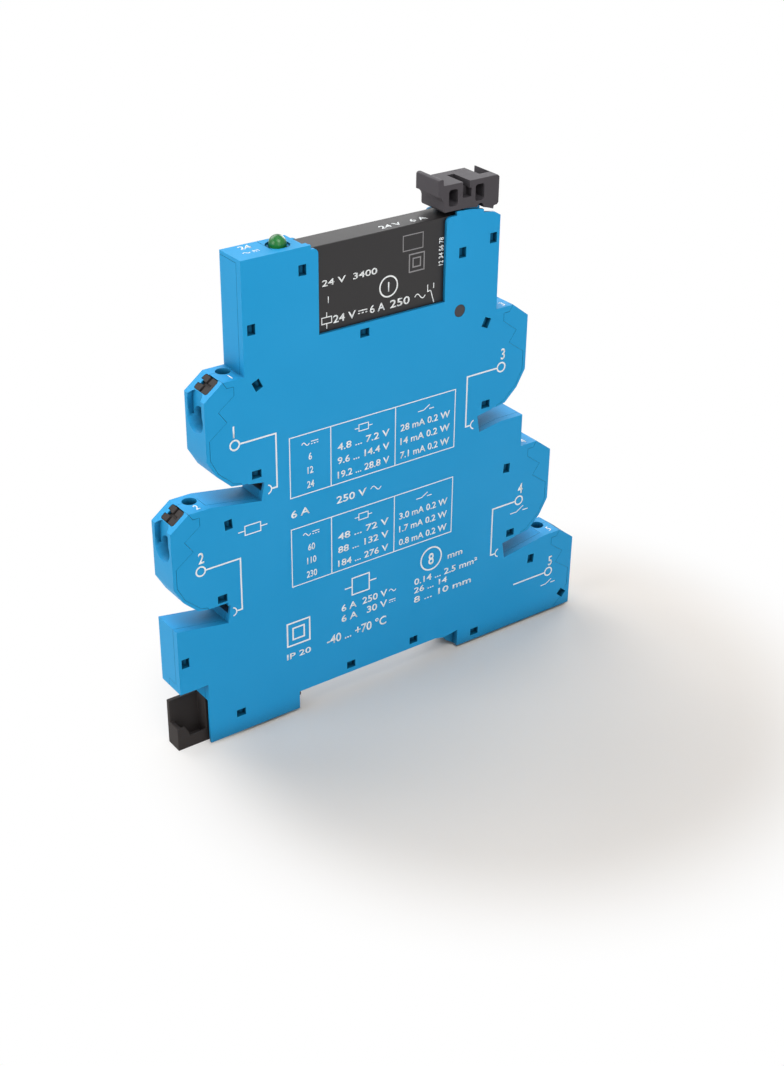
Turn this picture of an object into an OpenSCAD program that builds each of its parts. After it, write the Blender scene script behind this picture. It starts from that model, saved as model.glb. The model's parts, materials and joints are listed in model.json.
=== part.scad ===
// Slim interface relay for a 35 mm rail: a two-shell housing with five push-in terminals,
// a plug-in relay, the lever that holds and lifts it, and a sprung rail clip.
// X runs along the printed side, Y through the thickness, Z away from the rail.
// The origin is the middle of the rail seat.

/* [Housing] */
// Thickness of the module
body_t = 6.2; // [6:0.1:6.6]
// Thickness of the two side plates
plate_t = 0.55; // [0.45:0.05:0.6]
// Depth of the front cover's rim, its plate included
rim_d = 1.35; // [1.2:0.05:1.5]
// Outer walls
wall = 0.8; // [0.6:0.1:1]
// Thickness of the cap over the indicator
cap_t = 0.7; // [0.6:0.1:1]
// Width of the indicator block, left of the relay
block_w = 12.6; // [12.2:0.1:13.4]
// Width of the lever block, right of the relay
lever_block_w = 9.35; // [9.2:0.05:9.8]
// Underside of the low block over the clip
low_z = 8.65; // [8:0.25:9]
// Width of the bay for the clip
bay_w = 5.4; // [5.2:0.1:5.6]
// Depth of the feet below the rail seat
foot_drop = 3.5; // [3.3:0.1:4]

/* [Rail] */
// Width of the rail
rail_w = 35; // [35:0.1:35.2]
// Thickness of the rail's lips
rail_lip = 1; // [0.9:0.1:1.1]
// Play between the rail and the left step
rail_play = 0.4; // [0.3:0.1:0.6]

/* [Terminals] */
// How far the upper left terminal stands out of the indicator block
left_out = 7.4; // [7:0.2:8]
// How far the upper right terminal stands out of the lever block
right_out = 7.2; // [7:0.1:7.9]
// Height of the lowest wire entry over the rail seat
low_wire_z = 7.51; // [7.3:0.1:8]
// Step outwards from one terminal to the next lower one
step_x = 7.25; // [7:0.25:7.5]
// Gap between a terminal end and the next lower one
row_gap = 1.1; // [0.9:0.1:1.5]
// Gap between the spare terminal and the common one
common_gap = 8.3; // [8:0.1:8.6]
// Depth of a terminal end, from its face to the root of the jumper slot
end_d = 10; // [9.8:0.1:10.2]
// Height of a terminal end
end_h = 20; // [19.8:0.1:20.2]
// Height of a jumper slot
slot_h = 3.35; // [3:0.05:3.6]
// Radius of the wire entry's bore
wire_r = 1.3; // [1.1:0.05:1.4]
// Radius of the wire funnel at the face
funnel_r = 2.5; // [2.2:0.1:2.5]
// Depth of the funnel
funnel_d = 2.3; // [2:0.1:2.4]
// Radius of the test hole
test_r = 1.25; // [1.1:0.05:1.3]

/* [Relay] */
// Length of the relay
relay_l = 28; // [27.6:0.1:28.2]
// Thickness of the relay
relay_t = 5; // [4.8:0.1:5]
// Height of the relay
relay_h = 15; // [14.8:0.1:15.2]
// Underside of the relay over the flat top of the upper terminals
relay_rise = 3.4; // [3.1:0.1:3.6]
// Wall of the relay's case
case_t = 0.4; // [0.3:0.05:0.5]
// Lift of the relay when the lever is open
relay_lift = 2.3; // [2.2:0.1:2.4]

/* [Lever] */
// Pivot of the lever, outside the relay's right end
pivot_out = 1.65; // [1.5:0.05:1.8]
// Pivot of the lever, below the relay
pivot_drop = 1.9; // [1.75:0.05:2.05]
// Radius of the trunnions
pin_r = 1.07; // [1:0.01:1.1]
// Angle from closed to open
lever_turn = 28; // [20:1:28]
// Width of the lever's head
head_w = 11.5; // [11.3:0.1:11.7]
// Height of the lever's head
head_h = 4.5; // [4.3:0.1:4.7]

/* [Clip] */
// Travel of the rail clip
clip_travel = 2.2; // [1.8:0.1:2.2]
// Width of the clip's screwdriver pocket
pocket_w = 5.6; // [5.4:0.1:5.8]
// Reach of the clip's nose past the left step
nose_l = 1.45; // [1.2:0.05:1.5]

/* [Buttons] */
// Length of a release button down its slope
button_l = 2.9; // [2.7:0.1:3]
// Width of a release button
button_w = 3.85; // [3.6:0.05:3.9]
// Travel of a release button
button_travel = 1; // [0.8:0.1:1]

/* [Hidden] */
$fn = 48;
over = 1;              // overrun of cuts
fit = 0.06;            // running clearance round pins, buttons and the relay
gap = 0.3;             // clearance between pieces that only pass each other
seam = 0.06;           // gap along the parting line of the two shells
half = body_t / 2;
inner = half - plate_t;
split = half - rim_d;  // parting plane between the cover's rim and the rear housing
end_wire = 0.322 * end_h;          // wire entry below a terminal's flat top
step_z = end_h + row_gap;
common_drop = end_h + common_gap;
term_top = low_wire_z + end_wire + step_z + common_drop;
relay_z = term_top + relay_rise;
relay_off = -0.1;      // middle of the relay along X
relay_x0 = relay_off - relay_l / 2;
relay_x1 = relay_off + relay_l / 2;
relay_top = relay_z + relay_h;
top_z = relay_top + cap_t;
pocket_x0 = relay_x0 - gap;
pocket_x1 = relay_x1 + gap;
block_x = block_w - pocket_x0;
right_x = pocket_x1 + lever_block_w;
left_end = block_x + left_out;
right_end = right_x + right_out;
low_x = left_end + step_x - fit;
foot_x = low_x - bay_w;
pivot_x = relay_x1 + pivot_out;
pivot_z = relay_z - pivot_drop;
seat_x0 = -rail_w / 2 - rail_play;
seat_x1 = rail_w / 2;
arc_r = relay_top + cap_t / 2 - pivot_z + gap;  // top of the lever block, round the pivot

// Terminal ends: side, end face and flat top of the upper left, lower left, spare, common and
// contact terminals
ENDS = [
    [-1, left_end, term_top], [-1, left_end + step_x, term_top - step_z],
    [1, right_end, term_top], [1, right_end + step_x, term_top - common_drop],
    [1, right_end + 2 * step_x, term_top - common_drop - step_z]
];
LAST = 4;
last_x = ENDS[LAST][1];
last_z = ENDS[LAST][2];
// Outline of a terminal end, in shares of its depth and height from the corner of face and top
end_shares = [[1.5, 0], [0.345, 0], [0, -0.1325], [0, -0.645], [0.175, -0.8], [0.44, -0.925],
    [0.53, -0.9375], [1.5, -0.9375]];
// Parting line of the full-thickness end, which the front cover fits against
parting_shares = [[0.345, 0.05], [0.345, 0], [0.42, -0.0575], [0.54, -0.0575], [0.54, -0.1325],
    [0.245, -0.2425], [0.395, -0.3475], [0.065, -0.4675], [0.065, -0.6425], [0.2, -0.775],
    [0.49, -0.9075], [0.62, -0.9225], [0.62, -1], [-0.1, -1], [-0.1, 0.05]];
// Chamber behind the wire entry
chamber_shares = [[0.467, -0.0915], [0.467, -0.07], [0.93, -0.07], [0.93, -0.87], [0.5, -0.87],
    [0.255, -0.765], [0.09, -0.63], [0.09, -0.51], [0.33, -0.51], [0.33, -0.242],
    [0.237, -0.18]];
// Duct of the jumper contact behind the slot's root
duct_shares = [[0.9, -0.82], [1.24, -0.82], [1.24, -1.17], [1.09, -1.17], [1.12, -1.09],
    [1.12, -1.06], [0.95, -1.06], [0.95, -0.985], [1.12, -0.955], [0.9, -0.87]];
// Clamping spring, from its edge on the wire to the leg behind the busbar
spring_shares = [[0.47, -0.418], [0.69, -0.195], [0.76, -0.135], [0.82, -0.115], [0.87, -0.13],
    [0.895, -0.175], [0.87, -0.25], [0.87, -0.42]];
spring_t = 0.3;
bar_t = 0.6;           // thickness of the busbars
bar_y0 = -0.8;         // busbars and springs lie behind the latches
niche_d = 1;           // depth of the arched niche over the funnel
chamfer = atan(0.1325 * end_h / (0.345 * end_d));
test_a = 0.585 * end_d;
test_y = 0.85;
// Flap of the cover on a terminal's flat top
flap_shares = [[0.345, 0], [0.73, 0], [0.73, -0.07], [0.436, -0.07]];
key_w = 0.8;           // key that keeps a button from turning
groove_w = 0.55;       // crossed grooves in the button's face
groove_d = 0.45;
button_out = 0.15;     // button's upper edge below the slope's upper edge
button_d = 3.2;        // length of a button into the housing
button_y0 = -2.05;
slot_tilt = 9.6;
slot_root_share = [0.99, -1.1375];

rib_x = -2;            // the upright rib lies just left of the middle
latch_l = 1.8;
latch_w = 1.45;
latch_d = 0.65;        // depth of the latch bosses behind the parting plane
open_share = 0.42;     // part of a window that stays open beside its hook
latch_rise_share = 0.5;  // how far a hook stands up in the rim's depth
boss_w = 2.6;
collar_w = boss_w - 2 * fit;
tongue_d = 2.4;        // tongue of the cover at the foot of the low block's face
tongue_h = 1.5;
// Latches of the terminals: terminal, place in shares of its depth and height from the corner of
// face and top, turn, and 1 where the long side lies along X
end_latch_shares = [
    [0, 0.974, -0.0975, 25, 0], [0, 0.91, -0.88, 0, 1], [1, 1.07, -0.205, 5, 0],
    [1, 0.9, -0.8825, 0, 1], [2, 0.93, -0.1, -25, 0], [2, 0.871, -0.88, 0, 1],
    [3, 1.035, -0.1825, -5, 0], [3, 0.87, -0.885, 0, 1], [4, 1.045, -0.2025, -5, 0]
];
SOCKET_LATCH = 0;      // the first one belongs to the socket block
LEVER_LATCH = 3;

// Indicator and board
led_in = 4;             // middle of the light, left of the relay's pocket
led_x = pocket_x0 - led_in;
led_r = 1.45;
led_ring = 2;
led_h = 1.65;          // height of the dome over the cap
board_t = 0.7;
board_y = inner - board_t - fit;
bar_y1 = inner - fit;
board_x0 = max(-block_x + wall + gap, -left_end + 0.945 * end_d);
board_x1 = pocket_x0 - wall - gap;
board_neck = -left_end + 1.28 * end_d;  // the board is narrower beside the upper slot
board_neck_z = term_top - 0.82 * end_h;
board_z0 = term_top - step_z - 0.5625 * end_h;
board_z1 = relay_top - 3.62 * led_r;
can_r = 1.9;           // capacitor
can_l = 8;
can_drop = 2.5;        // from the board's top to the capacitor
chip = [3.2, 0.7, 1.6];             // a resistor
chip_shares = [0.46, 0.52, 0.58];   // places of the resistors up the board
chip_in = 1.8;
bridge = [4.4, 2, 4.4];             // rectifier

// Socket and pins
socket_h = 7.15;       // from its underside to the relay
socket_z0 = relay_z - socket_h;
socket_y = split - fit;
pin_shares = [0.057, 0.193, 0.643, 0.823];
PINS = [for (s = pin_shares) relay_x0 + s * relay_l];
pin_t = 0.5;
socket_x1 = PINS[3] + 2.5 * pin_t;
pin_w = 1;
pin_l = 3.3;
leaf_t = 0.3;
leaf_gap = 0.08;
clip_z0 = socket_z0 + 2 * pin_t;
shelf = 2;             // depth of the floor under the socket
lead_pitch = 1;        // the coil leads run along this floor, one below the other
lead_reach = 2.5;
riser = 2.5;           // straight end of a busbar under the socket
sill = 4;              // solid sill over the rail and beside the lever block

// Lever
bore_r = pin_r + fit;
stem_w = 3.2;
stem_y0 = -0.8;
stem_y1 = half - plate_t - gap - fit;
hub_r = 2.3;
toe_x = socket_x1 + 1.33 * gap;
bay_z = relay_z + 0.417 * relay_h;  // the right wall ends here, so that the stem can swing out

// Rail clip
clip_y0 = -1.3;
clip_y1 = 2.2;
clip_bottom = foot_drop + 2 * gap;
clip_wall = 0.8;
clip_back = 4.85;      // top of the pocket's back wall
clip_front = 0.45;     // top of its front and left walls
bar_z0 = -2.65;
bar_z1 = -rail_lip - gap;
tab_in = 3.3;          // from the bar's nose to the tab that the spring pushes
tab_x = seat_x0 - tab_in;
spring_bay = 7;
spring_x0 = tab_x - spring_bay;
spring_turns = 4;
spring_h = 3.4;

function side(i) = ENDS[i][0];

// All latches: place, turn and long side; first the socket's, then those of the two blocks, the
// low block, the feet and the sill over the rail, and those of the terminals
LATCHES = concat([
    [relay_off - 2.7 * latch_w, relay_z - 0.72 * latch_l, 0, 1],
    [pocket_x0 - 1.02 * latch_w, relay_top - 1.7 * latch_l, 0, 0],
    [-block_x + 1.07 * latch_w, relay_top - 6 * latch_l, 0, 0],
    [pocket_x1 + 1.07 * latch_w, relay_top - 3.67 * latch_l, 0, 0],
    [right_x - 0.9 * latch_w, relay_top - 2.95 * latch_l, 0, 0],
    [-low_x + 0.9 * latch_w, low_z + 3.3 * latch_l, 0, 0],
    [spring_x0 - 0.99 * latch_l, 0.25 * latch_l, 0, 1],
    [0.38 * seat_x0, 0.89 * latch_l, 0, 1],
    [0.41 * seat_x1, 0.92 * latch_l, 0, 1],
    [seat_x1 + 2.26 * latch_l, -0.97 * latch_l, 0, 1],
    [last_x - 1.35 * latch_w, -0.39 * latch_l, 50, 0]
], [for (p = end_latch_shares) [side(p[0]) * (ENDS[p[0]][1] - p[1] * end_d),
    ENDS[p[0]][2] + p[2] * end_h, p[3], p[4]]]);

function scaled(shares, sx, sz) = [for (p = shares) [p[0] * sx, p[1] * sz]];
function unit(v) = v / norm(v);
function normal(a, b) = let (u = unit(b - a)) [-u[1], u[0]];
function mitre(p, i) =
    let (n = len(p) - 1, a = i == 0 ? normal(p[0], p[1]) : normal(p[i - 1], p[i]),
        b = i == n ? a : normal(p[i], p[i + 1]), m = unit(a + b)) m / (m * a);

// A drawing in X and Z, given its thickness from y0 to y1
module slab(y0, y1)
    translate([0, y1, 0]) rotate([90, 0, 0]) linear_extrude(height = y1 - y0) children();

// A strip of even thickness along a bent line
module strip(p, t) {
    n = len(p) - 1;
    polygon(concat([for (i = [0:n]) p[i] + mitre(p, i) * t / 2],
        [for (i = [n:-1:0]) p[i] - mitre(p, i) * t / 2]));
}

// A plate with rounded corners, from its lower left corner
module rounded(w, h, corner) {
    translate([corner, 0]) square([w - 2 * corner, h]);
    translate([0, corner]) square([w, h - 2 * corner]);
    for (x = [corner, w - corner], z = [corner, h - corner]) translate([x, z]) circle(corner);
}

// A box between two corners, in the drawing
module rect(x0, z0, x1, z1) translate([x0, z0]) square([x1 - x0, z1 - z0]);

module at_end(i)
    translate([side(i) * ENDS[i][1], ENDS[i][2]]) mirror([side(i) > 0 ? 1 : 0, 0]) children();

module at_end3(i)
    translate([side(i) * ENDS[i][1], 0, ENDS[i][2]]) mirror([side(i) > 0 ? 1 : 0, 0, 0])
        children();

// A drawing in lengths down a terminal's slope and along Y, given its depth in the housing
module on_slope(from, to)
    translate([0.345 * end_d, 0, 0]) rotate([0, 180 - chamfer, 0]) translate([0, 0, from])
        linear_extrude(height = to - from) children();

function latch_size(p) = p[3] > 0 ? [latch_l, latch_w] : [latch_w, latch_l];

// Latch windows; a smaller share leaves the side that carries the hook
module latches2d(share = 1)
    for (p = LATCHES) {
        w = latch_size(p);
        translate([p[0], p[1]]) rotate(p[2]) translate(-w / 2) square([share * w[0], w[1]]);
    }

// Ramped hook that stands in a latch window
module latch_hook(p) {
    w = latch_size(p);
    tip = -split - latch_rise_share * (rim_d - plate_t);
    translate([p[0], 0, p[1]]) rotate([0, -p[2], 0])
        translate([-w[0] / 2, 0, -w[1] / 2 + fit]) linear_extrude(height = w[1] - 2 * fit)
            polygon([[open_share * w[0], -split + latch_d], [open_share * w[0], -split - fit],
                [0.7 * w[0], tip], [w[0] - fit, tip],
                [w[0] - fit, -split + latch_d]]);
}

// Outline of the module, with the lever block, the terminal ends and the feet
module outline2d() {
    difference() {
        union() {
            rect(-block_x, -foot_drop, right_x, relay_z);
            rect(-block_x, 0, pocket_x0, top_z);
            rect(-low_x, low_z, 0, ENDS[1][2] - end_h);
            rect(-foot_x, -foot_drop, 0, low_z + over);
            rect(0, -foot_drop, ENDS[3][1] - end_d, ENDS[3][2] - 0.5 * end_h);
            rect(0, -foot_drop, last_x, last_z - 0.5 * end_h);
            rect(0, 0, right_end, ENDS[2][2] - 1.0975 * end_h);
            intersection() {
                rect(pocket_x1, relay_z - over, right_x, top_z + over);
                union() {
                    translate([pivot_x, pivot_z]) circle(arc_r, $fn = 96);
                    rect(pocket_x1, relay_z - over, right_x, pivot_z + 0.7 * arc_r);
                }
            }
            for (i = [0:LAST - 1]) at_end(i) {
                polygon(scaled(end_shares, end_d, end_h));
                rect(end_d, -1.3 * end_h, 1.5 * end_d, -0.9 * end_h);
            }
            intersection() {
                at_end(LAST) polygon(scaled(end_shares, end_d, end_h));
                rect(0, 0, last_x, term_top);
            }
        }
        for (i = [0:LAST - 1])
            at_end(i) translate([slot_root_share[0] * end_d, slot_root_share[1] * end_h])
                rotate(180 - slot_tilt) translate([0, -slot_h])
                    square([1.5 * end_d, slot_h]);
        // step and slanted corner at the right of the lever block
        polygon([[0.846 * right_x, top_z], [0.848 * right_x, 0.9868 * top_z],
            [0.948 * right_x, 0.9818 * top_z], [right_x + over, 0.9655 * top_z],
            [right_x + over, top_z]]);
        polygon([[pocket_x0 - cap_t, top_z], [pocket_x0 + over, top_z + over],
            [pocket_x0 + over, top_z - cap_t - over]]);
    }
}

// Where the rail goes in, under the seat; the right jaw is slightly hollowed for tilting on
module rail2d()
    polygon([[seat_x0, -foot_drop - over], [seat_x0, 0], [0.7 * seat_x1, 0],
        [0.806 * seat_x1, -0.45 * rail_lip], [seat_x1, 0], [seat_x1, -foot_drop - over]]);

// Opening in both side plates round the relay, with rounded ears at its upper corners
module window2d() {
    x0 = pocket_x0 + 1.5 * ear_r;
    x1 = pocket_x1 - 2 * ear_r + fit;
    rect(x0, relay_z + 1.33 * gap, x1, top_z + over);
    for (s = [0, 1])
        translate([s > 0 ? x1 : x0, relay_top - ear_r]) mirror([s, 0])
            difference() {
                translate([-ear_r, 0]) square([ear_r, ear_r + over]);
                translate([-ear_r, 0]) circle(ear_r);
            }
    rect(pocket_x0 + gap / 2, relay_top, pocket_x1 + gap / 2, top_z + over);
}
ear_r = 1;

module side_plate2d() {
    difference() {
        union() {
            outline2d();
            rect(pocket_x0 - over, relay_z - over, pocket_x1 + over, top_z);
        }
        rail2d();
        window2d();
    }
}

// The full-thickness terminal ends, outside the parting line; the cover keeps clear of them
module ends2d(clear = 0)
    for (i = [0:LAST], d = clear > 0 ? [[0, 0], [clear, 0], [0, clear]] : [[0, 0]]) {
        at_end(i) translate(d) polygon(scaled(parting_shares, end_d, end_h));
        if (i == LAST)
            rect(last_x - 0.04 * end_d - clear, -foot_drop - over, last_x + over,
                last_z - 0.5 * end_h);
    }

module cover2d() {
    difference() {
        side_plate2d();
        ends2d(seam);
        latches2d();
        translate([pivot_x, pivot_z]) circle(bore_r);
    }
}

// Hollows that both shells share, drawn once
module hollow2d() {
    difference() {
        union() {
            // indicator and board
            rect(-block_x + wall, board_neck_z - gap, pocket_x0 - wall, relay_top - wall);
            rect(board_neck - gap, board_z0 - gap, pocket_x0 - wall, board_neck_z);
            // relay and socket
            rect(pocket_x0, socket_z0 - fit, pocket_x1, top_z + over);
            rect(pocket_x0 - wall - over, socket_z0 - shelf, PINS[1] + 2.4 * pin_t,
                socket_z0 + over);
            // lever
            translate([pivot_x, pivot_z]) circle(hub_r + gap);
            rect(toe_x - gap, pivot_z - hub_r, pivot_x, top_z);
            rect(pocket_x1, pivot_z - 0.3 * hub_r, right_x - wall, bay_z);
            rect(pocket_x1, bay_z - over, right_x + over, top_z + over);
            // middle of the housing, with the busbars
            rect(board_neck, sill, right_x - sill, socket_z0 - shelf);
            for (x = [PINS[2], PINS[3]])
                rect(x - wall, socket_z0 - shelf - over, x + wall, socket_z0 + over);
            rect(right_x - sill - over, ENDS[3][2] - 0.64 * end_h, ENDS[3][1] - 0.9 * end_d,
                ENDS[3][2] - 0.55 * end_h);
            rect(right_x - sill - over, ENDS[4][2] - 0.49 * end_h, ENDS[4][1] - 0.9 * end_d,
                ENDS[4][2] - 0.41 * end_h);
            rect(-ENDS[1][1] + 0.9 * end_d, ENDS[1][2] - 0.49 * end_h, board_neck + over,
                ENDS[1][2] - 0.41 * end_h);
            rect(-low_x + wall, low_z + wall, -block_x + 2.5 * wall, ENDS[1][2] - 1.22 * end_h);
            // terminals
            for (i = [0:LAST]) {
                intersection() {
                    at_end(i) polygon(scaled(chamber_shares, end_d, end_h));
                    rect(-low_x, i == LAST ? last_z - 0.56 * end_h : 0, last_x, top_z);
                }
                if (i < LAST) at_end(i) polygon(scaled(duct_shares, end_d, end_h));
            }
            // rail clip
            rect(-foot_x - over, bar_z0 - gap, seat_x0 - clip_travel + gap, clip_back + gap);
            rect(-foot_x - over, -foot_drop - over, -foot_x + clip_wall + 2 * gap, clip_back);
            rect(seat_x0 - clip_travel - 2.7 * gap, -foot_drop - over, seat_x0 + over,
                bar_z1 + gap);
        }
        // stiffening ribs between the plates
        rect(pocket_x0 - wall, board_z0 + shelf, pocket_x0, socket_z0 - shelf);
        for (share = [0.19, 0.33, 0.47, 0.61])
            rect(share > 0.35 ? pocket_x0 - wall : board_neck - over, share * top_z, rib_x,
                share * top_z + wall);
        rect(rib_x - wall, 0, rib_x, 0.62 * top_z);
        // seat of the clip's spring
        rect(spring_x0 - gap - wall, bar_z1 + gap, spring_x0 - gap, clip_back + over);
    }
}

// Small solid blocks that carry the latch hooks, in the layer behind the parting plane
module bosses() {
    slab(-split, -split + latch_d)
        difference() {
            union() {
                intersection() {
                    for (i = [0:len(LATCHES) - 1]) if (i != SOCKET_LATCH)
                        translate([LATCHES[i][0], LATCHES[i][1]]) square(boss_w, center = true);
                    outline2d();
                }
                rect(LATCHES[LEVER_LATCH][0] - boss_w / 2, bay_z - boss_w, right_x,
                    LATCHES[LEVER_LATCH + 1][1] + boss_w / 2);
                rect(-block_x, term_top - 2 * wall, -left_end + 0.974 * end_d, term_top);
            }
            latches2d(open_share);
            rail2d();
        }
    for (i = [0:len(LATCHES) - 1]) if (i != SOCKET_LATCH) latch_hook(LATCHES[i]);
}

module wire_entries()
    for (i = [0:LAST]) at_end3(i) {
        translate([0, 0, -end_wire]) rotate([0, 90, 0]) {
            translate([0, 0, -over / 10]) cylinder(r1 = funnel_r, r2 = wire_r, h = funnel_d);
            cylinder(r = wire_r, h = 0.4 * end_d);
        }
        // arched niche over the funnel, which leads the wire in
        translate([-over, 0, -end_wire]) rotate([90, 0, 90])
            linear_extrude(height = over + niche_d) niche2d();
    }

module test_holes()
    for (i = [0:LAST]) at_end3(i)
        translate([test_a, test_y, -0.08 * end_h]) cylinder(r = test_r, h = 0.09 * end_h);

module niche2d() {
    corner = 0.6 * funnel_r;
    w = funnel_r - gap;
    translate([-w, 0]) square([2 * w, 0.225 * end_h - corner]);
    translate([corner - w, 0]) square([2 * (w - corner), 0.225 * end_h]);
    for (s = [-1, 1]) translate([s * (w - corner), 0.225 * end_h - corner]) circle(corner);
}

// Face of a button, with the keyway in its back edge
module button2d(grow)
    difference() {
        translate([button_out - grow, button_y0 - grow])
            rounded(button_l + 2 * grow, button_w + 2 * grow, key_w / 2 + grow);
        rect(1.4 * key_w + grow, button_y0 + button_w - 0.85 * key_w + grow,
            2.5 * key_w - grow, half);
    }

module button_holes()
    for (i = [0:LAST]) at_end3(i) on_slope(-over, button_d + button_travel) button2d(fit);

// Flaps of the cover that close the tops of the terminals, up to the middle of the test holes
module flaps(clear = 0)
    for (i = [0:LAST], d = clear > 0 ? [[-2 * clear, 0], [clear, 0], [0, -clear]] : [[0, 0]])
        at_end3(i) translate([d[0], 0, d[1]]) slab(-split - seam - clear, test_y + clear)
            polygon(scaled(flap_shares, end_d, end_h));

// Tongue of the cover at the foot of the low block's end face
module tongue(clear = 0)
    slab(-split - seam - fit + clear, -split + tongue_d + clear)
        rect(-low_x - clear, low_z - clear, -low_x + wall + clear, low_z + tongue_h + clear);

module rear_shell() color("dodgerblue") {
    difference() {
        union() {
            slab(-split, half) difference() {
                union() { outline2d(); hook2d(); }
                difference() { rail2d(); hook2d(); }
                rect(-block_x - over, relay_top, pocket_x0 + over, top_z + over);
            }
            slab(-half, -split) intersection() { outline2d(); ends2d(); }
            slab(inner, half) {
                side_plate_back2d();
                guard2d();
            }
        }
        slab(-inner, inner) hollow2d();
        slab(-half - over, half + over) window2d();
        slab(-half - over, -split + latch_d) latches2d();
        slab(0, half + over) translate([pivot_x, pivot_z]) circle(bore_r);
        translate([led_x, 0, relay_top - 2 * over]) cylinder(r = led_r + fit, h = 3 * over);
        wire_entries();
        test_holes();
        button_holes();
        flaps(seam);
        tongue(seam);
    }
    bosses();
}

module side_plate_back2d()
    difference() {
        side_plate2d();
        rect(-block_x - over, relay_top, pocket_x0 + over, top_z + over);
    }

// Fixed hook under the rail's right lip
module hook2d()
    polygon([[seat_x1 + over, -1.05 * rail_lip], [seat_x1, -1.05 * rail_lip],
        [0.863 * seat_x1, -1.45 * rail_lip], [0.914 * seat_x1, -0.715 * foot_drop],
        [seat_x1, -foot_drop], [seat_x1 + over, -foot_drop]]);

// Back plate behind the clip's pocket
module guard2d()
    rect(-low_x + 1.5 * gap, -foot_drop - gap, -foot_x + over, clip_front + 1.2 * gap);

// Collars round the latch windows
module collars2d()
    for (p = LATCHES) translate([p[0], p[1]]) square(collar_w, center = true);

module front_cover() color("deepskyblue") {
    difference() {
        union() {
            difference() {
                slab(-half, -split - seam) cover2d();
                slab(-inner, -split) difference() {
                    hollow2d();
                    collars2d();
                }
            }
            flaps();
        }
        test_holes();
        button_holes();
    }
    tongue();
    // cap over the indicator block
    difference() {
        slab(-half, half) intersection() {
            outline2d();
            rect(-block_x - over, relay_top + seam, pocket_x0, top_z);
        }
        translate([led_x, 0, relay_top - over]) cylinder(r = led_r + fit, h = 3 * over);
        translate([led_x, 0, top_z - cap_t / 2]) cylinder(r = led_ring, h = over);
        translate([led_x - led_ring, -led_r, top_z - fit])
            cube([2 * fit, 2 * half, over]);
    }
}

module status_led() color("limegreen") {
    translate([led_x, 0, relay_top - 3 * led_r]) cylinder(r = led_r, h = 3 * led_r + cap_t);
    translate([led_x, 0, top_z]) intersection() {
        translate([0, 0, led_h - led_r]) union() {
            sphere(led_r);
            translate([0, 0, -led_r]) cylinder(r = led_r, h = led_r);
        }
        translate([0, 0, led_h / 2]) cube([2 * led_r, 2 * led_r, led_h], center = true);
    }
    for (s = [-1, 1]) translate([led_x + s * led_r / 2 - pin_t / 2, -pin_t / 2,
            relay_top - 3 * led_r - 4 * pin_t]) {
        cube([pin_t, pin_t, 4 * pin_t]);
        cube([pin_t, board_y + pin_t / 2, pin_t]);
    }
}

module circuit_board() color("darkgreen")
    slab(board_y, board_y + board_t) {
        rect(board_x0, board_neck_z, board_x1, board_z1);
        rect(board_neck, board_z0, board_x1, board_neck_z + over);
    }

module capacitor() color("black")
    translate([led_x, board_y - can_r, board_z1 - can_drop - can_l]) cylinder(r = can_r, h = can_l);

module resistors() color("dimgray")
    for (share = chip_shares) translate([board_x1 - chip_in - chip[0], board_y - chip[1],
            board_z0 + share * (board_z1 - board_z0)])
        cube(chip);

module rectifier() color("gray")
    translate([board_x1 - bridge[0] - gap, board_y - bridge[1], board_neck_z + gap]) cube(bridge);

// Two sprung leaves round a relay pin, joined below
module contact_clip(x) {
    w = pin_t / 2 + leaf_gap;
    slab(-pin_w, pin_w) difference() {
        rect(x - w - leaf_t, clip_z0, x + w + leaf_t, relay_z - 2.5 * gap);
        rect(x - w, clip_z0 + leaf_t, x + w, relay_z);
    }
}

module coil_leads() color("goldenrod")
    for (i = [0, 1]) {
        x = pocket_x0 - lead_reach;
        z = socket_z0 - (i + 0.5) * lead_pitch;
        contact_clip(PINS[i]);
        slab(-pin_w, pin_w)
            strip([[PINS[i], clip_z0 + leaf_t / 2], [PINS[i], z], [x, z]], leaf_t);
        slab(0, board_y) strip([[x - leaf_t / 2, z], [x + lead_pitch, z]], leaf_t);
    }

module socket_block() color("steelblue") {
    difference() {
        slab(-socket_y, inner - fit)
            rect(pocket_x0 + fit, socket_z0, socket_x1 - fit, relay_z - gap);
        slab(-pin_w - gap, pin_w + gap)
            for (x = PINS) rect(x - pin_t / 2 - leaf_gap - leaf_t - fit, socket_z0 - over,
                x + pin_t / 2 + leaf_gap + leaf_t + fit, relay_z);
    }
    latch_hook(LATCHES[SOCKET_LATCH]);
}

// Height of the run from a terminal to the socket, below the terminal's flat top
function run_z(i) = ENDS[i][2] - (i == 3 ? 0.595 : 0.445) * end_h;

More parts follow.
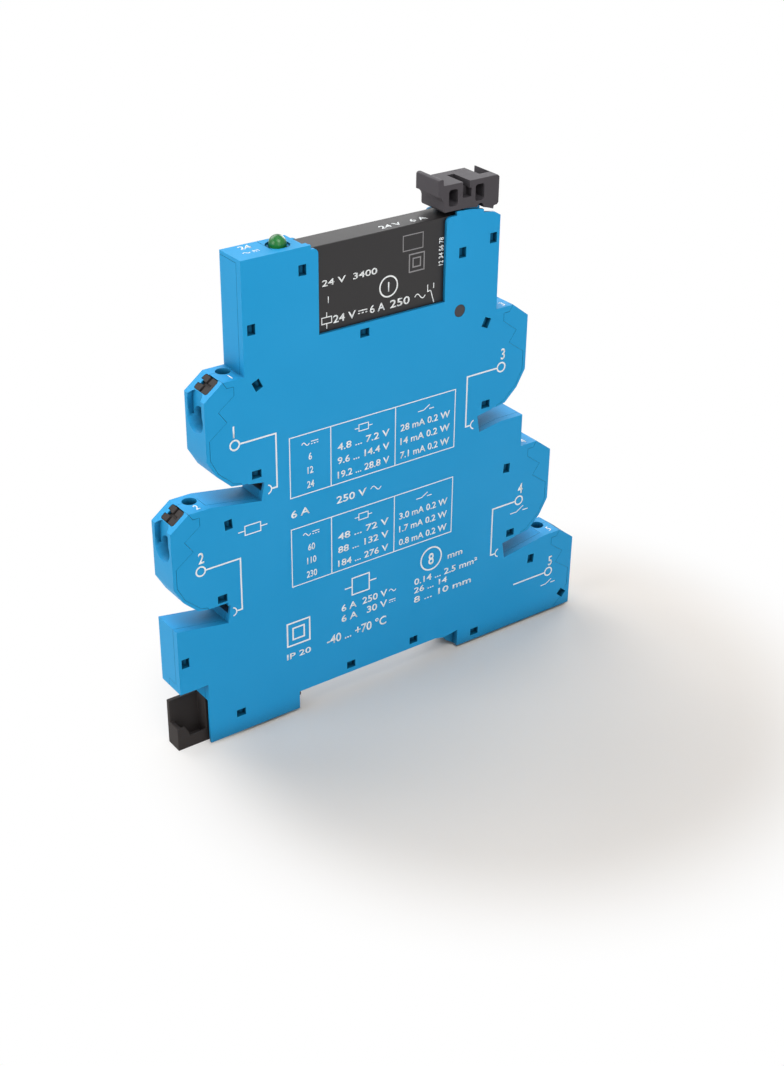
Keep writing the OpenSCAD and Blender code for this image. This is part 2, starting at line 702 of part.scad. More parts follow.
module busbar(i) color("peru") {
    slab(bar_y0, bar_y1) {
        if (i < LAST) at_end(i) strip([[0.37 * end_d, -0.445 * end_h],
            [0.83 * end_d, -0.445 * end_h], [0.83 * end_d, -0.815 * end_h],
            [0.9 * end_d, -0.855 * end_h], [1.18 * end_d, -0.87 * end_h],
            [1.18 * end_d, -1.14 * end_h]], bar_t);
    }
    if (i > 2) {
        pin = PINS[6 - i];
        rise = pin + (i == 3 ? 4 : 2) * bar_t;
        slab(bar_y0, bar_y1)
            strip([[ENDS[i][1] - (i == 3 ? 0.83 : 0.37) * end_d, run_z(i)], [rise, run_z(i)],
                [rise, socket_z0 - 1.6 * riser], [pin, socket_z0 - riser],
                [pin, socket_z0 - 0.6 * riser]], bar_t);
        slab(-pin_w, pin_w)
            strip([[pin, socket_z0 - 0.8 * riser], [pin, clip_z0 + leaf_t / 2]], bar_t);
        contact_clip(pin);
    }
    // tabs onto the board
    if (i < 2) slab(bar_y0, board_y)
        strip([[-ENDS[i][1] + 0.83 * end_d, run_z(i)],
            [(i == 0 ? board_x0 : board_neck) + 2.5 * bar_t, run_z(i)]], bar_t);
}

module clamp_spring(i) color("silver")
    slab(bar_y0, bar_y1) at_end(i) strip(scaled(spring_shares, end_d, end_h), spring_t);

module release_button(i) color("black")
    at_end3(i) difference() {
        on_slope(0, button_d) button2d(0);
        // crossed grooves for the screwdriver
        on_slope(-over, groove_d) translate([button_out + button_l / 2, button_y0 + button_w / 2]) {
            square([button_l + 2 * over, groove_w], center = true);
            square([groove_w, 0.7 * button_w], center = true);
        }
    }

// Relay
module relay_case() color("dimgray")
    difference() {
        translate([relay_x0, -relay_t / 2, relay_z]) cube([relay_l, relay_t, relay_h]);
        translate([relay_x0 + case_t, -relay_t / 2 + case_t, relay_z - over])
            cube([relay_l - 2 * case_t, relay_t - 2 * case_t, relay_h - case_t + over]);
    }

base_h = 1.5;
relay_floor = relay_z + base_h;
coil_z = relay_z + 0.58 * relay_h;
coil_x0 = relay_x0 + 0.07 * relay_l;
coil_x1 = relay_x0 + 0.56 * relay_l;
coil_half = relay_t / 2 - case_t - fit;
core_h = 3.4;
core_t = 1.2;
bobbin_t = 0.5;
barrel_t = 0.25;
yoke_z = relay_floor + 0.75 * core_t;
pole_gap = 0.7;        // between the core's end and the armature
armature_x = coil_x1 + core_t + pole_gap;

module relay_base() color("darkslategray")
    difference() {
        translate([relay_x0 + case_t + fit, -coil_half, relay_z])
            cube([relay_l - 2 * case_t - 2 * fit, 2 * coil_half, relay_floor - relay_z]);
        for (x = PINS) translate([x - pin_t / 2, -pin_w / 2, relay_z - over])
            cube([pin_t, pin_w, relay_floor - relay_z + 2 * over]);
    }

module coil_pins() color("silver")
    for (x = [PINS[0], PINS[1]]) translate([x - pin_t / 2, -pin_w / 2, relay_z - pin_l])
        cube([pin_t, pin_w, pin_l + base_h + gap / 2]);

module coil_bobbin() color("ivory") {
    difference() {
        slab(-coil_half, coil_half) {
            rect(coil_x0, coil_z - 1.35 * core_h, coil_x0 + bobbin_t, coil_z + 1.35 * core_h);
            rect(coil_x1 - bobbin_t, coil_z - 1.35 * core_h, coil_x1, coil_z + 1.35 * core_h);
        }
        translate([coil_x0 - over, -core_t / 2, coil_z - core_h / 2])
            cube([coil_x1 - coil_x0 + 2 * over, core_t, core_h]);
    }
    difference() {
        translate([coil_x0 + bobbin_t / 2, -core_t / 2 - barrel_t, coil_z - core_h / 2 - barrel_t])
            cube([coil_x1 - coil_x0 - bobbin_t, core_t + 2 * barrel_t, core_h + 2 * barrel_t]);
        translate([coil_x0 - over, -core_t / 2, coil_z - core_h / 2])
            cube([coil_x1 - coil_x0 + 2 * over, core_t, core_h]);
    }
}

module coil_winding() color("chocolate")
    translate([coil_x0 + bobbin_t, 0, coil_z]) rotate([90, 0, 90])
        difference() {
            linear_extrude(height = coil_x1 - coil_x0 - 2 * bobbin_t) union() {
                for (s = [-1, 1]) translate([0, s * core_h / 2]) circle(coil_half - fit);
                square([2 * coil_half - 2 * fit, core_h], center = true);
            }
            translate([0, 0, -over]) linear_extrude(height = coil_x1 - coil_x0 + over)
                square([core_t + 2 * barrel_t, core_h + 2 * barrel_t], center = true);
        }

module magnet_frame() color("lightsteelblue") {
    slab(-core_t / 2, core_t / 2)
        rect(coil_x0 - core_t, coil_z - core_h / 2, coil_x1 + core_t / 2, coil_z + core_h / 2);
    slab(-coil_half + fit, coil_half - fit) {
        rect(coil_x0 - core_t, yoke_z - core_t / 2, coil_x0 - fit, coil_z + core_h / 2);
        rect(coil_x0 - core_t, yoke_z - core_t / 2, armature_x - core_t / 2 - gap,
            yoke_z + core_t / 2);
    }
}

// Armature, card and blade turn on the end of the yoke
module armature() color("slategray")
    slab(-coil_half + gap, coil_half - gap) {
        rect(armature_x - core_t / 2, yoke_z, armature_x + core_t / 2, coil_z + core_h / 2);
        translate([armature_x, yoke_z]) circle(core_t / 2);
    }

module contact_card() color("ivory")
    slab(-coil_half + gap, coil_half - gap)
        rect(armature_x + core_t / 2, coil_z, PINS[3] - blade_t / 2, coil_z + core_t);

blade_t = 0.25;
rivet_r = 1;
contact_z = coil_z - 1.6 * rivet_r;
rivet_t = 0.5;

module moving_contact() color("goldenrod") {
    slab(-rivet_r, rivet_r)
        rect(PINS[3] - blade_t / 2, relay_floor + 2.2 * gap, PINS[3] + blade_t / 2,
            coil_z + 2 * core_t);
    translate([PINS[3] - blade_t / 2 - rivet_t, 0, contact_z]) rotate([0, 90, 0])
        cylinder(r = rivet_r, h = rivet_t);
}

contact_gap = 0.38;

module fixed_contact() color("goldenrod") {
    x = PINS[3] - blade_t - 2 * rivet_t - contact_gap;
    translate([PINS[2] - pin_t / 2, -pin_w / 2, relay_z - pin_l])
        cube([pin_t, pin_w, pin_l + base_h + blade_t / 2]);
    slab(-rivet_r, rivet_r)
        strip([[PINS[2] - pin_t / 2, relay_floor + blade_t / 2], [x, relay_floor + blade_t / 2],
            [x, contact_z + rivet_r]], blade_t);
    translate([x, 0, contact_z]) rotate([0, 90, 0])
        cylinder(r = rivet_r, h = rivet_t + blade_t / 2);
}

module common_post() color("goldenrod")
    translate([PINS[3] - pin_t / 2, -pin_w / 2, relay_z - pin_l])
        cube([pin_t, pin_w, pin_l + base_h + gap]);

// Lever
head_x = pivot_x - 0.352 * head_w;
head_z = relay_top + cap_t + gap - fit;
head_shares = [[0.022, 0], [0.004, 0.067], [0.004, 0.333], [-0.096, 0.333],
    [-0.096, 1.178], [-0.086, 1.222], [-0.062, 1.244], [-0.03, 1.244], [-0.01, 1.222],
    [-0.004, 1.178], [-0.004, 1], [0.97, 1],
    [1, 0.922], [1, -0.044], [0.974, -0.122], [0.917, -0.133], [0.904, -0.289],
    [0.252, -0.289], [0.252, 0]];

module retaining_lever() color("dimgray") {
    difference() {
        union() {
            slab(-half + fit, half - fit) difference() {
                translate([head_x, head_z]) polygon(scaled(head_shares, head_w, head_h));
                translate([pivot_x, pivot_z]) circle(arc_r + gap, $fn = 96);
                translate([head_x + 0.67 * head_w, head_z - 0.08 * head_h])
                    circle(0.15 * head_h);
                // hollow under the left lip, for the thumb
                translate([head_x - 0.122 * head_w, head_z + 0.313 * head_h])
                    circle(0.126 * head_w);
            }
            slab(stem_y0, stem_y1)
                polygon([[pocket_x1, pivot_z], [pocket_x1, head_z + gap],
                    [pocket_x1 + stem_w, head_z + gap],
                    [pocket_x1 + stem_w, pivot_z]]);
            slab(stem_y0, stem_y1) {
                translate([pivot_x, pivot_z]) circle(hub_r);
                // toe under the relay
                polygon([[toe_x, relay_z - 2.6 * gap], [toe_x + gap, relay_z - 1.3 * gap],
                    [pivot_x, relay_z - 1.3 * gap], [pivot_x, pivot_z - 0.6 * hub_r],
                    [toe_x, relay_z - 1.3 * gap - 0.45 * hub_r]]);
            }
            slab(-half + fit, half - fit) translate([pivot_x, pivot_z]) circle(pin_r);
        }
        // two windows and the stepped slot in the head's face
        slab(-half - over, 0.1 * body_t) for (share = [0.095, 0.57])
            translate([head_x + share * head_w, head_z + 0.18 * head_h])
                rounded(0.16 * head_w, 0.62 * head_h, 1.5 * gap);
        translate([head_x + 0.34 * head_w, -half - over, head_z + 0.72 * head_h])
            cube([0.125 * head_w, 0.72 * body_t + over, head_h]);
        translate([head_x + 0.34 * head_w, -half - over, head_z + 0.4 * head_h])
            cube([0.155 * head_w, 0.39 * body_t, 0.33 * head_h]);
        // pocket behind the right lip
        translate([head_x + 0.77 * head_w, -0.16 * body_t, head_z + 0.45 * head_h])
            cube([0.185 * head_w, body_t, head_h]);
    }
}

// Rail clip
module rail_clip() color("black") {
    difference() {
        slab(clip_y0, clip_y1)
            rect(-low_x - fit, -clip_bottom, -low_x - fit + pocket_w + clip_wall, clip_back);
        // pocket, open at the top, and over the low front and left walls
        translate([-low_x - fit + clip_wall, clip_y0 + clip_wall / 2, -clip_bottom + clip_wall])
            cube([pocket_w - clip_wall, clip_y1 - clip_y0 - 1.6 * clip_wall, 4 * clip_back]);
        slab(clip_y0 - over, clip_y1 - clip_wall * 1.1)
            polygon([[-low_x - over, clip_back + over], [-low_x - over, clip_front],
                [-low_x + 1.8 * clip_wall, clip_front],
                [-low_x + 2.8 * clip_wall, clip_front - 1.9 * clip_wall],
                [-low_x + 2.8 * clip_wall, clip_front - 2.6 * clip_wall],
                [-low_x + pocket_w - fit, clip_front - 2.6 * clip_wall],
                [-low_x + pocket_w - fit, clip_back + over]]);
    }
    slab(clip_y0, clip_y1) {
        rect(-low_x + pocket_w, bar_z0, seat_x0 + over / 4, bar_z1);
        rect(tab_x, bar_z0, tab_x + clip_wall, bar_z1 + 3 * clip_wall);
        // nose under the rail's left lip
        polygon([[seat_x0, bar_z1], [seat_x0 + 0.7 * nose_l, bar_z1],
            [seat_x0 + nose_l, bar_z1 - 0.25 * nose_l],
            [seat_x0 + nose_l, bar_z1 - 0.6 * nose_l],
            [seat_x0 + 0.35 * nose_l, bar_z0 - 0.2 * nose_l], [seat_x0, bar_z0 - 0.2 * nose_l]]);
    }
}

// Return spring of the clip: a flat strip bent into waves, against the fixed post
module clip_spring() color("silver") {
    pitch = (tab_x - spring_x0 - clip_travel - gap - leaf_t) / (2 * spring_turns);
    z0 = bar_z1 + gap + pitch / 2 + leaf_t / 2;
    z1 = z0 + spring_h - pitch - leaf_t;
    slab(clip_y0 + gap, clip_y1 - gap)
        translate([spring_x0 + leaf_t / 2, 0]) {
            for (k = [0:2 * spring_turns])
                rect(k * pitch - leaf_t / 2, z0 - fit, k * pitch + leaf_t / 2, z1 + fit);
            for (k = [0:2 * spring_turns - 1])
                translate([(k + 0.5) * pitch, k % 2 > 0 ? z0 : z1]) intersection() {
                    difference() {
                        circle(pitch / 2 + leaf_t / 2, $fn = 24);
                        circle(pitch / 2 - leaf_t / 2, $fn = 24);
                    }
                    mirror([0, k % 2]) translate([-pitch, 0]) square(2 * pitch);
                }
        }
}

rear_shell();
front_cover();
status_led();
circuit_board();
capacitor();
resistors();
rectifier();
socket_block();
coil_leads();
busbar(0);  // busbar_1
busbar(1);  // busbar_2
busbar(2);  // busbar_3
busbar(3);  // busbar_4
busbar(4);  // busbar_5
clamp_spring(0);  // clamp_spring_1
clamp_spring(1);  // clamp_spring_2
clamp_spring(2);  // clamp_spring_3
clamp_spring(3);  // clamp_spring_4
clamp_spring(4);  // clamp_spring_5
release_button(0);  // release_button_1
release_button(1);  // release_button_2
release_button(2);  // release_button_3
release_button(3);  // release_button_4
release_button(4);  // release_button_5
relay_case();
relay_base();
coil_pins();
coil_bobbin();
coil_winding();
magnet_frame();
fixed_contact();
common_post();
armature();
contact_card();
moving_contact();
retaining_lever();
rail_clip();
clip_spring();
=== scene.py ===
# Looks of the slim interface relay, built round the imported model.
# Metres, in the part's frame: X along the printed side, Y through the thickness, Z off the rail.
import json
import math

import bmesh
import bpy
from mathutils import Matrix, Vector


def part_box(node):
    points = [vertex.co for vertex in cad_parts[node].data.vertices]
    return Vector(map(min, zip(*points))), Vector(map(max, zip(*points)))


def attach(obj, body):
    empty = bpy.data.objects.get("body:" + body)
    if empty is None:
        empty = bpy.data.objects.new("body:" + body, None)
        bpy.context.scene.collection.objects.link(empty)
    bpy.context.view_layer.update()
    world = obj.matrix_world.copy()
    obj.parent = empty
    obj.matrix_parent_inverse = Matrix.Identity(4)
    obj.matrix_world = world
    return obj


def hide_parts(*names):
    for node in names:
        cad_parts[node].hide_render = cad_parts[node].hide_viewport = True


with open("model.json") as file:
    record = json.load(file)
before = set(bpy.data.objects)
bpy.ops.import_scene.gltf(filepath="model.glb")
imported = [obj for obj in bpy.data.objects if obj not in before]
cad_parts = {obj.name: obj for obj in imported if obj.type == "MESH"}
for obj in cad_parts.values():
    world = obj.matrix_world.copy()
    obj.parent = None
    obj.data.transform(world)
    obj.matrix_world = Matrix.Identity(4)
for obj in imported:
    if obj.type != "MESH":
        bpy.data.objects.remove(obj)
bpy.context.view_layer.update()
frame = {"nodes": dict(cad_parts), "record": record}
NODES = frame["nodes"]
SLOT_OF = {s["node"]: s["material_slot"] for s in frame["record"]["subparts"]}
BODY_OF = {n: body for body, names in frame["record"]["behaviour"]["bodies"].items() for n in names}
MM = 0.001

# The photograph's camera: its place, its turn in degrees and its focal length in pixels
CAMERA_PLACE = Vector((-147.858, -208.983, 170.489)) * MM
CAMERA_AZIMUTH = -36.04
CAMERA_ELEVATION = 29.565
CAMERA_ROLL = 0.715
FOCAL_PX = 1659.8
PHOTO_HIGH_PX = 1066

# Planes and places that the printing is laid out from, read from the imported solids
FACE_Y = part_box("front_cover")[0].y
CASE_LOW, CASE_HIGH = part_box("relay_case")
CAP_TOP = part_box("front_cover")[1].z
FLOOR_Z = min(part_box(name)[0].z for name in NODES)
INK_T = 0.012 * MM


def set_up_camera():
    """The camera that the photograph was taken with."""
    data = bpy.data.cameras.new("camera")
    data.sensor_width = 36
    data.lens = data.sensor_width * FOCAL_PX / PHOTO_HIGH_PX
    data.clip_start, data.clip_end = 0.01, 10
    camera = bpy.data.objects.new("camera", data)
    bpy.context.scene.collection.objects.link(camera)
    turn = (
        Matrix.Rotation(math.radians(CAMERA_AZIMUTH), 4, "Z")
        @ Matrix.Rotation(math.radians(90 - CAMERA_ELEVATION), 4, "X")
        @ Matrix.Rotation(math.radians(CAMERA_ROLL), 4, "Z")
    )
    camera.matrix_world = Matrix.Translation(CAMERA_PLACE) @ turn
    bpy.context.scene.camera = camera


# Materials


def srgb(code):
    """Linear colour of a six-digit code, with full alpha."""
    values = [int(code[i : i + 2], 16) / 255 for i in (0, 2, 4)]
    return [v / 12.92 if v < 0.04045 else ((v + 0.055) / 1.055) ** 2.4 for v in values] + [1.0]


def add_node(tree, kind, links=(), **values):
    """A shader node with its settings, its socket values and the links that come in."""
    node = tree.nodes.new(kind)
    for key, value in values.items():
        if hasattr(node, key):
            setattr(node, key, value)
        else:
            node.inputs[key.replace("_", " ")].default_value = value
    for socket, source in dict(links).items():
        tree.links.new(source, node.inputs[socket])
    return node


def scaled_sum(tree, value, factor, rest):
    """value * factor + rest, where rest is a socket."""
    node = add_node(tree, "ShaderNodeMath", {0: value, 2: rest}, operation="MULTIPLY_ADD")
    node.inputs[1].default_value = factor
    return node.outputs[0]


def product(tree, value, factor):
    """value * factor, both sockets."""
    return add_node(tree, "ShaderNodeMath", {0: value, 1: factor}, operation="MULTIPLY").outputs[0]


# Where a Mix node keeps the sockets that it uses for colours
MIX_AMOUNT, MIX_FROM, MIX_TO = 0, 6, 7
MIX_RESULT = 2


def blended(tree, amount, colour, other):
    """Mix of two colour sockets, from colour to other as amount goes from 0 to 1."""
    links = {MIX_AMOUNT: amount, MIX_FROM: colour, MIX_TO: other}
    return add_node(tree, "ShaderNodeMix", links, data_type="RGBA").outputs[MIX_RESULT]


def new_group(name, inputs, outputs):
    """A shader node group, with the sockets that come from its inputs and go to its outputs."""
    group = bpy.data.node_groups.new(name, "ShaderNodeTree")
    for label, default in inputs.items():
        kind = "NodeSocketColor" if isinstance(default, list) else "NodeSocketFloat"
        socket = group.interface.new_socket(label, in_out="INPUT", socket_type=kind)
        socket.default_value = default
    for label, kind in outputs.items():
        group.interface.new_socket(label, in_out="OUTPUT", socket_type=kind)
    start = group.nodes.new("NodeGroupInput")
    end = group.nodes.new("NodeGroupOutput")
    return group, start.outputs, end.inputs


SURFACE_OUTPUTS = {
    "Colour": "NodeSocketColor",
    "Roughness": "NodeSocketFloat",
    "Height": "NodeSocketFloat",
}


def moulded_plastic_group():
    """Spark-eroded grain, slow flow marks, and painted shade: a darker tone in slots and inside
    corners, where ambient occlusion finds the surface closed in.
    """
    group, given, put = new_group(
        "moulded_plastic",
        {
            "Colour": [0.5, 0.5, 0.5, 1],
            "Drift": 0.05,
            "Grain": 9000.0,
            "Roughness": 0.4,
            "Painted Shade": 0.6,
            "Painted Shade Reach": 3 * MM,
        },
        SURFACE_OUTPUTS,
    )
    place = add_node(group, "ShaderNodeTexCoord").outputs["Object"]
    grain = add_node(
        group, "ShaderNodeTexNoise", {"Vector": place, "Scale": given["Grain"]}, Detail=2.0
    ).outputs["Fac"]
    flow = add_node(group, "ShaderNodeTexNoise", {"Vector": place}, Scale=55.0, Detail=1.5)
    fade = add_node(
        group, "ShaderNodeMapRange", {"Value": flow.outputs["Fac"]}, From_Min=0.3, From_Max=0.7
    )
    darker = add_node(
        group, "ShaderNodeHueSaturation", {"Color": given["Colour"]}, Value=0.9, Saturation=1.04
    )
    drifted = blended(
        group,
        product(group, fade.outputs["Result"], given["Drift"]),
        given["Colour"],
        darker.outputs["Color"],
    )
    # Painted shade: where ambient occlusion finds the surface closed in, the colour is mixed
    # towards a near-black of itself.
    open_sky = add_node(
        group, "ShaderNodeAmbientOcclusion", {"Distance": given["Painted Shade Reach"]}, samples=6
    )
    closed = add_node(
        group, "ShaderNodeMapRange", {"Value": open_sky.outputs["AO"]}, From_Min=0.87, From_Max=0.2
    )
    painted_shade_colour = add_node(
        group, "ShaderNodeHueSaturation", {"Color": drifted}, Value=0.07, Saturation=1.1
    )
    shaded = blended(
        group,
        product(group, closed.outputs["Result"], given["Painted Shade"]),
        drifted,
        painted_shade_colour.outputs["Color"],
    )
    group.links.new(shaded, put["Colour"])
    group.links.new(scaled_sum(group, grain, 0.12, given["Roughness"]), put["Roughness"])
    group.links.new(grain, put["Height"])
    return group


def rolled_metal_group():
    """Rolling streaks along Z and small dull patches, for stamped and rolled metal."""
    group, given, put = new_group(
        "rolled_metal",
        {"Colour": [0.5, 0.5, 0.5, 1], "Streaks": 2500.0, "Roughness": 0.25},
        SURFACE_OUTPUTS,
    )
    place = add_node(group, "ShaderNodeTexCoord").outputs["Object"]
    along = add_node(group, "ShaderNodeMapping", {"Vector": place})
    along.inputs["Scale"].default_value = (1, 1, 0.06)
    streaks = add_node(
        group,
        "ShaderNodeTexNoise",
        {"Vector": along.outputs[0], "Scale": given["Streaks"]},
        Detail=3.0,
    ).outputs["Fac"]
    patches = add_node(group, "ShaderNodeTexNoise", {"Vector": place}, Scale=400.0)
    tone = add_node(
        group, "ShaderNodeMapRange", {"Value": patches.outputs["Fac"]}, To_Min=0.85, To_Max=1.05
    )
    tinted = add_node(
        group,
        "ShaderNodeHueSaturation",
        {"Color": given["Colour"], "Value": tone.outputs["Result"]},
    )
    group.links.new(tinted.outputs["Color"], put["Colour"])
    group.links.new(scaled_sum(group, streaks, 0.2, given["Roughness"]), put["Roughness"])
    group.links.new(streaks, put["Height"])
    return group


PLASTIC = moulded_plastic_group()
METAL = rolled_metal_group()


def new_material(name):
    """A new material, its node tree and its Principled shader."""
    material = bpy.data.materials.new(name)
    material.use_nodes = True
    tree = material.node_tree
    return material, tree, tree.nodes["Principled BSDF"]


def grouped(name, group, given, bump, bump_distance, shader_values):
    """A Principled material whose colour, roughness and bump come from one shared group."""
    material, tree, shader = new_material(name)
    effect = tree.nodes.new("ShaderNodeGroup")
    effect.node_tree = group
    for label, value in given.items():
        effect.inputs[label].default_value = value
    tree.links.new(effect.outputs["Colour"], shader.inputs["Base Color"])
    tree.links.new(effect.outputs["Roughness"], shader.inputs["Roughness"])
    relief = add_node(
        tree,
        "ShaderNodeBump",
        {"Height": effect.outputs["Height"]},
        Strength=bump,
        Distance=bump_distance,
    )
    tree.links.new(relief.outputs["Normal"], shader.inputs["Normal"])
    for label, value in shader_values.items():
        shader.inputs[label].default_value = value
    return material


def plastic(name, code, roughness, specular=0.4, drift=0.5, painted_shade=0.6, reach=2.0, bump=0.12):
    """A moulded plastic or a print colour, with painted shade in its inside corners; reach is how
    far that painted shade reaches, in mm.
    """
    given = {
        "Colour": srgb(code),
        "Roughness": roughness,
        "Drift": drift,
        "Painted Shade": painted_shade,
        "Painted Shade Reach": reach * MM,
    }
    return grouped(name, PLASTIC, given, bump, 0.02 * MM, {"Specular IOR Level": specular})


def metal(name, code, roughness):
    """A rolled metal."""
    given = {"Colour": srgb(code), "Roughness": roughness}
    return grouped(name, METAL, given, 0.1, 0.01 * MM, {"Metallic": 1.0})


def winding_material():
    """Enamelled copper wire, laid turn by turn along the bobbin."""
    material, tree, shader = new_material("winding")
    place = add_node(tree, "ShaderNodeTexCoord").outputs["Object"]
    turns = add_node(tree, "ShaderNodeTexWave", {"Vector": place}, Scale=1600.0, Distortion=0.4)
    ramp = add_node(tree, "ShaderNodeValToRGB", {"Fac": turns.outputs["Fac"]})
    ramp.color_ramp.elements[0].color = srgb("5E2413")
    ramp.color_ramp.elements[1].color = srgb("C4693A")
    relief = add_node(
        tree, "ShaderNodeBump", {"Height": turns.outputs["Fac"]}, Strength=0.5, Distance=0.03 * MM
    )
    tree.links.new(ramp.outputs["Color"], shader.inputs["Base Color"])
    tree.links.new(relief.outputs["Normal"], shader.inputs["Normal"])
    shader.inputs["Roughness"].default_value = 0.3
    shader.inputs["Metallic"].default_value = 0.6
    return material


def board_material():
    """Green solder mask with paler tracks showing through it."""
    material, tree, shader = new_material("board_green")
    place = add_node(tree, "ShaderNodeTexCoord").outputs["Object"]
    tracks = add_node(
        tree,
        "ShaderNodeTexBrick",
        {"Vector": place},
        Scale=300.0,
        Color1=srgb("0F5A34"),
        Color2=srgb("0C4D2C"),
        Mortar=srgb("2C8A55"),
    )
    relief = add_node(
        tree, "ShaderNodeBump", {"Height": tracks.outputs["Fac"]}, Strength=0.3, Distance=0.02 * MM
    )
    tree.links.new(tracks.outputs["Color"], shader.inputs["Base Color"])
    tree.links.new(relief.outputs["Normal"], shader.inputs["Normal"])
    shader.inputs["Roughness"].default_value = 0.35
    return material


def led_material():
    """Tinted dome, with painted shade: deeper green where it is seen along its rim."""
    material, tree, shader = new_material("led_green")
    place = add_node(tree, "ShaderNodeTexCoord").outputs["Object"]
    cloud = add_node(tree, "ShaderNodeTexNoise", {"Vector": place}, Scale=500.0, Detail=1.0)
    ramp = add_node(tree, "ShaderNodeValToRGB", {"Fac": cloud.outputs["Fac"]})
    ramp.color_ramp.elements[0].position = 0.3
    ramp.color_ramp.elements[0].color = srgb("1B6A2C")
    ramp.color_ramp.elements[1].position = 0.7
    ramp.color_ramp.elements[1].color = srgb("2A8A3C")
    # Painted shade: Layer Weight mixes the base colour towards a darker green at the rim, as seen
    # from the camera.
    rim = add_node(tree, "ShaderNodeLayerWeight", Blend=0.35)
    edge = add_node(tree, "ShaderNodeRGB").outputs[0]
    edge.default_value = srgb("144A22")
    rim_shaded_colour = blended(tree, rim.outputs["Facing"], ramp.outputs["Color"], edge)
    tree.links.new(rim_shaded_colour, shader.inputs["Base Color"])
    shader.inputs["Roughness"].default_value = 0.2
    shader.inputs["Specular IOR Level"].default_value = 0.3
    shader.inputs["Coat Weight"].default_value = 0.1
    shader.inputs["Coat Roughness"].default_value = 0.08
    return material


MATERIALS = {
    # The housing's painted shade is strong and reaches 5 mm, darkening its slots, windows and the
    # tops under the terminals' overhangs.
    "housing_blue": plastic(
        "housing_blue", "219EDA", 0.46, specular=0.22, drift=0.35, painted_shade=0.92, reach=5
    ),
    "lever_grey": plastic("lever_grey", "4B484C", 0.5, specular=0.15),
    "relay_black": plastic("relay_black", "1F1D1E", 0.36, specular=0.42, bump=0.06),
    "black_plastic": plastic("black_plastic", "393534", 0.52, specular=0.1, painted_shade=0.1),
    "component_dark": plastic("component_dark", "26262A", 0.3),
    "bobbin_white": plastic("bobbin_white", "E6E2D8", 0.45),
    "led_green": led_material(),
    "board_green": board_material(),
    "winding": winding_material(),
    "copper_alloy": metal("copper_alloy", "C98B56", 0.22),
    "spring_steel": metal("spring_steel", "C2C4C8", 0.18),
    "soft_iron": metal("soft_iron", "9A9CA0", 0.3),
    "contact_silver": metal("contact_silver", "D8D2C4", 0.2),
}
INK = plastic("print_white", "F1F5F6", 0.5, drift=0.1, painted_shade=0.0, bump=0.05)
FAINT_INK = plastic("print_grey", "8C8B8D", 0.5, drift=0.1, painted_shade=0.0, bump=0.05)


# Rounded copies of the pieces whose edges or domes show

# Points closer than this are one point
WELD = 0.001 * MM
# Faces that meet at less than FLAT degrees are one face; edges over EDGE degrees are rounded
FLAT = 0.5
EDGE = 32


def work_in(piece, modifiers):
    """Works modifiers into the piece's mesh, so that nothing is left to evaluate."""
    for kind, settings in modifiers:
        modifier = piece.modifiers.new(kind.lower(), kind)
        for key, value in settings.items():
            setattr(modifier, key, value)
    graph = bpy.context.evaluated_depsgraph_get()
    mesh = bpy.data.meshes.new_from_object(piece.evaluated_get(graph))
    piece.modifiers.clear()
    piece.data = mesh


def rounded_copy(node, radius):
    """A smoothly shaded copy of a node, with its sharp edges rounded as in the real piece."""
    mesh = NODES[node].data.copy()
    work = bmesh.new()
    work.from_mesh(mesh)
    bmesh.ops.remove_doubles(work, verts=work.verts, dist=WELD)
    bmesh.ops.dissolve_limit(
        work, angle_limit=math.radians(FLAT), verts=work.verts, edges=work.edges
    )
    for edge in work.edges:
        edge.smooth = True
    for face in work.faces:
        face.smooth = True
    work.to_mesh(mesh)
    work.free()
    piece = bpy.data.objects.new(node + "_moulded", mesh)
    bpy.context.scene.collection.objects.link(piece)
    rounding = {
        "width": radius,
        "segments": 2,
        "limit_method": "ANGLE",
        "angle_limit": math.radians(EDGE),
        "use_clamp_overlap": True,
        "miter_outer": "MITER_ARC",
        "harden_normals": True,
    }
    # Normals that follow the flat faces, so that only the rounded edges shade as curves
    flattening = {"mode": "FACE_AREA", "weight": 100, "keep_sharp": True}
    work_in(piece, [("BEVEL", rounding), ("WEIGHTED_NORMAL", flattening)])
    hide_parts(node)
    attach(piece, BODY_OF[node])
    return piece


def cover(piece, material):
    """Gives the piece this one material."""
    piece.data.materials.clear()
    piece.data.materials.append(material)


# Outlines of the printing, in metres

# Two points closer than this close a line
SAME_PLACE = 1e-9
# A mitre is no longer than half the line's width divided by this
SHARPEST_MITRE = 0.2


def line_outline(points, width):
    """Outline of a line of even width with mitred corners."""
    points = [Vector(p) for p in points]
    closed = (points[0] - points[-1]).length < SAME_PLACE
    if closed:
        points = points[:-1]
    count = len(points)
    normals = []
    for i in range(count if closed else count - 1):
        along = (points[(i + 1) % count] - points[i]).normalized()
        normals.append(Vector((-along.y, along.x)))
    sides = []
    for i in range(count):
        before = normals[i - 1] if (closed or i > 0) else normals[0]
        after = normals[i] if (closed or i < count - 1) else normals[-1]
        mitre = (before + after).normalized()
        sides.append(mitre * width / 2 / max(mitre.dot(after), SHARPEST_MITRE))
    left = [p + s for p, s in zip(points, sides)]
    right = [p - s for p, s in zip(points, sides)]
    return [right, left] if closed else [right + left[::-1]]


def line(points, width=0.2):
    """A printed line through points given in mm."""
    return line_outline([(x * MM, z * MM) for x, z in points], width * MM)


def box_line(x0, z0, x1, z1, width=0.2):
    """A printed rectangle between two corners given in mm."""
    return line([(x0, z0), (x1, z0), (x1, z1), (x0, z1), (x0, z0)], width)


def arc_points(x, z, radius, start, end, steps=12):
    """Points in mm along an arc, its ends given in degrees."""
    turns = [math.radians(start + (end - start) * i / steps) for i in range(steps + 1)]
    return [(x + radius * math.cos(t), z + radius * math.sin(t)) for t in turns]


